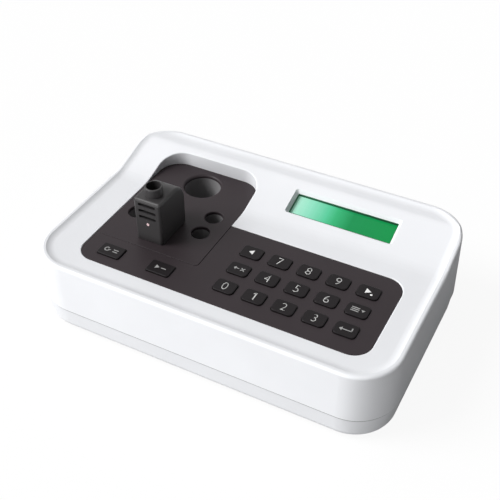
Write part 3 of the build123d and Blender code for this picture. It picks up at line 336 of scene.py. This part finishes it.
def foam_material():
    """Dark closed-cell foam."""
    material, tree, shader = new_material("foam")
    cells = object_noise(tree, scale=1200.0, detail=3.0)
    tone = ramp(tree, cells, [(0.3, (0.12, 0.12, 0.13)), (0.7, (0.26, 0.26, 0.28))])
    tree.links.new(tone, shader.inputs["Base Color"])
    add_bump(tree, shader, cells, strength=0.9, distance=0.2 * MM)
    shader.inputs["Roughness"].default_value = 0.95
    return material


def printed(name, color):
    """Ink of the key legends."""
    return moulded(name, color, roughness=0.5, grain=3000.0, depth=0.005 * MM)


materials = {
    "case": case_material(),
    "panel": moulded("panel", (0.028, 0.021, 0.024), roughness=0.46, drift=0.06, grain=2400.0,
                     specular=0.22),
    "keys": moulded("keys", (0.011, 0.009, 0.010), roughness=0.40, drift=0.08, grain=2600.0,
                    depth=0.01 * MM, specular=0.14),
    "cover": moulded("cover", (0.034, 0.032, 0.033), roughness=0.42, drift=0.06, grain=2400.0,
                     specular=0.34),
    "cup": moulded("cup", (0.22, 0.215, 0.22), roughness=0.55, drift=0.05, specular=0.25),
    "lens": moulded("lens", (0.80, 0.58, 0.60), roughness=0.15, drift=0.02, grain=1500.0,
                    depth=0.005 * MM, specular=0.6, coat=0.5),
    "display_rim": moulded("display_rim", (0.025, 0.12, 0.06), roughness=0.5, drift=0.1, specular=0.2),
    "black_plastic": moulded("black_plastic", (0.02, 0.02, 0.021), roughness=0.45, drift=0.1),
    "clear_plastic": moulded("clear_plastic", (0.8, 0.84, 0.8), roughness=0.3),
    "connector_plastic": moulded("connector_plastic", (0.68, 0.64, 0.55), roughness=0.5, drift=0.04),
    "rubber": moulded("rubber", (0.022, 0.022, 0.023), roughness=0.8, drift=0.15, grain=900.0,
                      depth=0.06 * MM, specular=0.3),
    "steel": metal("steel", (0.62, 0.62, 0.61), roughness=0.32),
    "connector_steel": metal("connector_steel", (0.66, 0.66, 0.64), roughness=0.28, stretch=(1, 6, 1)),
    "aluminium": metal("aluminium", (0.8, 0.81, 0.82), roughness=0.36, stretch=(1, 1, 8)),
    "film": moulded("film", (0.62, 0.26, 0.05), roughness=0.3, drift=0.1, grain=400.0),
    "foam": foam_material(),
    "circuit_board": board_material(),
    "ribbon": ribbon_material(),
    "display_glass": display_material(),
    "legend": printed("legend", (0.56, 0.56, 0.55)),
    "legend_bright": printed("legend_bright", (0.86, 0.86, 0.85)),
    "legend_faint": printed("legend_faint", (0.36, 0.36, 0.355)),
}
slot_of = {entry["node"]: entry["material_slot"] for entry in frame["record"]["subparts"]}
for name, thing in nodes.items():
    thing.data.materials.clear()
    thing.data.materials.append(materials[slot_of[name]])


# Key legends

def key_top(body):
    """The middle of a key's top face."""
    low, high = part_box(body)
    return Vector(((low.x + high.x) / 2, (low.y + high.y) / 2, high.z))


def digit_mesh(text):
    """The flat outline of a digit, centred on its own middle."""
    curve = bpy.data.curves.new("digit", "FONT")
    curve.body = text
    curve.offset = DIGIT_THINNING
    holder = new_object("digit", curve)
    bpy.context.view_layer.update()
    mesh = bpy.data.meshes.new_from_object(holder)
    bpy.data.objects.remove(holder)
    xs = [v.co.x for v in mesh.vertices]
    ys = [v.co.y for v in mesh.vertices]
    scale = DIGIT_HEIGHT / (max(ys) - min(ys))
    middle = Vector(((max(xs) + min(xs)) / 2, (max(ys) + min(ys)) / 2, 0))
    for vertex in mesh.vertices:
        vertex.co = (vertex.co - middle) * scale
        vertex.co.x *= DIGIT_WIDTH_SHARE
    return mesh


def sign_mesh(draw):
    """The flat mesh of a sign, from the function that draws it."""
    mesh = bpy.data.meshes.new("sign")
    bm = bmesh.new()
    draw(bm)
    bmesh.ops.triangulate(bm, faces=bm.faces[:])
    bm.to_mesh(mesh)
    bm.free()
    return mesh


def print_legend(mesh, name, body, ink="legend"):
    """Gives a flat legend its thickness and lays it on a key, sunk in a little."""
    bm = bmesh.new()
    bm.from_mesh(mesh)
    bmesh.ops.recalc_face_normals(bm, faces=bm.faces[:])
    for face in bm.faces:
        if face.normal.z < 0:
            face.normal_flip()
    made = bmesh.ops.extrude_face_region(bm, geom=bm.faces[:])
    for item in made["geom"]:
        if isinstance(item, bmesh.types.BMVert):
            item.co.z += LEGEND_THICK + LEGEND_SINK
    bmesh.ops.recalc_face_normals(bm, faces=bm.faces[:])
    bm.to_mesh(mesh)
    bm.free()
    mesh.transform(Matrix.Translation(key_top(body) - Vector((0, 0, LEGEND_SINK))))
    mesh.materials.clear()
    mesh.materials.append(materials[ink])
    thing = new_object(name, mesh)
    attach(thing, body)


# Signs, drawn in millimetres from the middle of the key

def fill(bm, *corners):
    """A filled outline with the given corners."""
    bm.faces.new([bm.verts.new((x * MM, y * MM, 0)) for x, y in corners])


def bar(bm, x0, y0, x1, y1, width=STROKE):
    """A straight stroke."""
    length = math.hypot(x1 - x0, y1 - y0)
    nx = -(y1 - y0) / length * width / 2
    ny = (x1 - x0) / length * width / 2
    fill(bm, (x0 + nx, y0 + ny), (x0 - nx, y0 - ny), (x1 - nx, y1 - ny), (x1 + nx, y1 + ny))


def dot(bm, x, y):
    """A round dot."""
    place = Matrix.Translation((x * MM, y * MM, 0))
    bmesh.ops.create_circle(bm, cap_ends=True, segments=DOT_SEGMENTS, radius=DOT_RADIUS * MM, matrix=place)


def arc(bm, x, y, radius, start, end):
    """A curved stroke about a centre, anticlockwise between two angles in degrees."""
    centre = Vector((x, y, 0)) * MM
    turn = math.radians(start)
    outward = Vector((math.cos(turn), math.sin(turn), 0)) * MM
    inner = bm.verts.new(centre + outward * (radius - STROKE / 2))
    outer = bm.verts.new(centre + outward * (radius + STROKE / 2))
    edge = bm.edges.new((inner, outer))
    bmesh.ops.spin(bm, geom=[inner, outer, edge], cent=centre, axis=(0, 0, 1),
                   angle=math.radians(end - start), steps=ARC_STEPS)


def draw_one(bm):
    """The digit 1: a stem and a flag."""
    bar(bm, 0.35, -3.0, 0.35, 3.0, width=ONE_STEM)
    bar(bm, 0.45, 2.75, -1.15, 1.75)


def draw_left(bm):
    """An arrowhead to the left."""
    fill(bm, (-2.0, 0.0), (1.1, -2.0), (1.1, 2.0))


def draw_right(bm):
    """An arrowhead to the right, and a dot."""
    fill(bm, (-1.9, -2.2), (-1.9, 2.2), (1.6, 0.0))
    dot(bm, 2.3, -2.2)


def draw_clear(bm):
    """An arrow back, and a cross."""
    fill(bm, (-3.4, 0.0), (-1.9, 1.5), (-1.9, -1.5))
    bar(bm, -1.9, 0.0, 0.2, 0.0)
    bar(bm, 1.4, -1.2, 3.8, 1.2)
    bar(bm, 1.4, 1.2, 3.8, -1.2)


def draw_menu(bm):
    """Three lines, and an arrowhead down."""
    for y in (1.4, 0.0, -1.4):
        bar(bm, -4.0, y, 1.0, y)
    fill(bm, (2.0, 0.8), (4.4, 0.8), (3.2, -0.9))


def draw_enter(bm):
    """An arrow that comes down and turns left."""
    fill(bm, (-4.0, -0.6), (-2.2, 0.9), (-2.2, -2.1))
    bar(bm, -2.3, -0.6, 3.7, -0.6)
    bar(bm, 3.4, -0.9, 3.4, 1.9)


def draw_restart(bm):
    """A turning arrow, and two lines."""
    arc(bm, -3.1, 0.0, radius=1.5, start=60, end=360)
    fill(bm, (-2.7, 0.3), (-0.5, 0.3), (-1.6, -1.2))
    for y in (0.9, -0.9):
        bar(bm, 1.2, y, 4.6, y)


def draw_start(bm):
    """An arrowhead to the right, and a line."""
    fill(bm, (-3.2, -1.6), (-3.2, 1.6), (-0.6, 0.0))
    bar(bm, 0.6, 0.0, 3.9, 0.0)


for digit in range(10):
    outline = sign_mesh(draw_one) if digit == 1 else digit_mesh(str(digit))
    print_legend(outline, f"legend_{digit}", f"key_{digit}")

signs = {
    "left": (draw_left, "legend_bright"),
    "right": (draw_right, "legend_bright"),
    "clear": (draw_clear, "legend_faint"),
    "menu": (draw_menu, "legend_faint"),
    "enter": (draw_enter, "legend_faint"),
    "restart": (draw_restart, "legend_faint"),
    "start": (draw_start, "legend_faint"),
}
for name, (draw, ink) in signs.items():
    print_legend(sign_mesh(draw), f"legend_{name}", f"key_{name}", ink)


# Camera

camera_data = bpy.data.cameras.new("camera")
camera_data.sensor_width = SENSOR_WIDTH
camera_data.lens = FOCAL_LENGTH
camera_data.clip_start = CLIP_START
camera = new_object("camera", camera_data)
camera.location = CAMERA_PLACE
aim(camera, CAMERA_WAY)
bpy.context.scene.camera = camera


# Floor

def floor_material():
    """A floor that the camera sees white with a faint shadow, and that throws only a little light back."""
    material = bpy.data.materials.new("floor")
    material.use_nodes = True
    tree = material.node_tree
    tree.nodes.clear()
    bounce = tree.nodes.new("ShaderNodeBsdfDiffuse")
    bounce.inputs["Color"].default_value = FLOOR_BOUNCE
    shadow = tree.nodes.new("ShaderNodeBsdfDiffuse")
    shadow.inputs["Color"].default_value = FLOOR_SHADOW
    glow = tree.nodes.new("ShaderNodeEmission")
    glow.inputs["Color"].default_value = WHITE
    glow.inputs["Strength"].default_value = FLOOR_GLOW
    seen = tree.nodes.new("ShaderNodeAddShader")
    tree.links.new(shadow.outputs[0], seen.inputs[0])
    tree.links.new(glow.outputs[0], seen.inputs[1])
    path = tree.nodes.new("ShaderNodeLightPath")
    mix = tree.nodes.new("ShaderNodeMixShader")
    tree.links.new(path.outputs["Is Camera Ray"], mix.inputs["Fac"])
    tree.links.new(bounce.outputs[0], mix.inputs[1])
    tree.links.new(seen.outputs[0], mix.inputs[2])
    output = tree.nodes.new("ShaderNodeOutputMaterial")
    tree.links.new(mix.outputs[0], output.inputs["Surface"])
    return material


floor_mesh = bpy.data.meshes.new("floor")
bm = bmesh.new()
bmesh.ops.create_circle(bm, cap_ends=True, segments=FLOOR_SEGMENTS, radius=FLOOR_RADIUS)
bm.to_mesh(floor_mesh)
bm.free()
floor = new_object("floor", floor_mesh)
floor.location.z = -FLOOR_DROP
floor_mesh.materials.append(floor_material())


# Lamps

def flat_lamp(name, place, target, size, power):
    """A rectangular lamp that lights the object and isn't seen itself."""
    data = bpy.data.lights.new(name, "AREA")
    data.shape = "RECTANGLE"
    data.size = size[0]
    data.size_y = size[1]
    data.energy = power
    lamp = new_object(name, data)
    lamp.location = place
    lamp.visible_camera = False
    aim(lamp, target - place)


sun_data = bpy.data.lights.new("key_light", "SUN")
sun_data.energy = SUN_STRENGTH
sun_data.angle = SUN_SPREAD
aim(new_object("key_light", sun_data), SUN_WAY)
flat_lamp("soft_box", FRONT_LAMP_PLACE, FRONT_LAMP_AIM, FRONT_LAMP_SIZE, FRONT_LAMP_POWER)
flat_lamp("side_fill", SIDE_LAMP_PLACE, SIDE_LAMP_AIM, SIDE_LAMP_SIZE, SIDE_LAMP_POWER)


# World

def light_world():
    """A sky that lights from one side, and plain white for camera, glass and mirror rays."""
    world = bpy.data.worlds.new("world")
    bpy.context.scene.world = world
    world.use_nodes = True
    tree = world.node_tree
    tree.nodes.clear()
    place = tree.nodes.new("ShaderNodeTexCoord")
    side = tree.nodes.new("ShaderNodeVectorMath")
    side.operation = "DOT_PRODUCT"
    side.inputs[1].default_value = SKY_WAY
    tree.links.new(place.outputs["Generated"], side.inputs[0])
    strength = map_range(tree, side.outputs["Value"], source=SKY_SPAN, target=(0.0, SKY_STRENGTH))
    sky = tree.nodes.new("ShaderNodeBackground")
    sky.inputs["Color"].default_value = WHITE
    tree.links.new(strength, sky.inputs["Strength"])
    white = tree.nodes.new("ShaderNodeBackground")
    white.inputs["Color"].default_value = WHITE
    white.inputs["Strength"].default_value = 1.0
    path = tree.nodes.new("ShaderNodeLightPath")
    straight = maths(tree, "MAXIMUM", path.outputs["Is Camera Ray"], path.outputs["Is Transmission Ray"])
    seen = maths(tree, "MAXIMUM", straight, path.outputs["Is Glossy Ray"])
    mix = tree.nodes.new("ShaderNodeMixShader")
    tree.links.new(seen, mix.inputs["Fac"])
    tree.links.new(sky.outputs[0], mix.inputs[1])
    tree.links.new(white.outputs[0], mix.inputs[2])
    output = tree.nodes.new("ShaderNodeOutputWorld")
    tree.links.new(mix.outputs[0], output.inputs["Surface"])


light_world()
bpy.context.scene.view_settings.view_transform = "Standard"

bpy.context.view_layer.update()
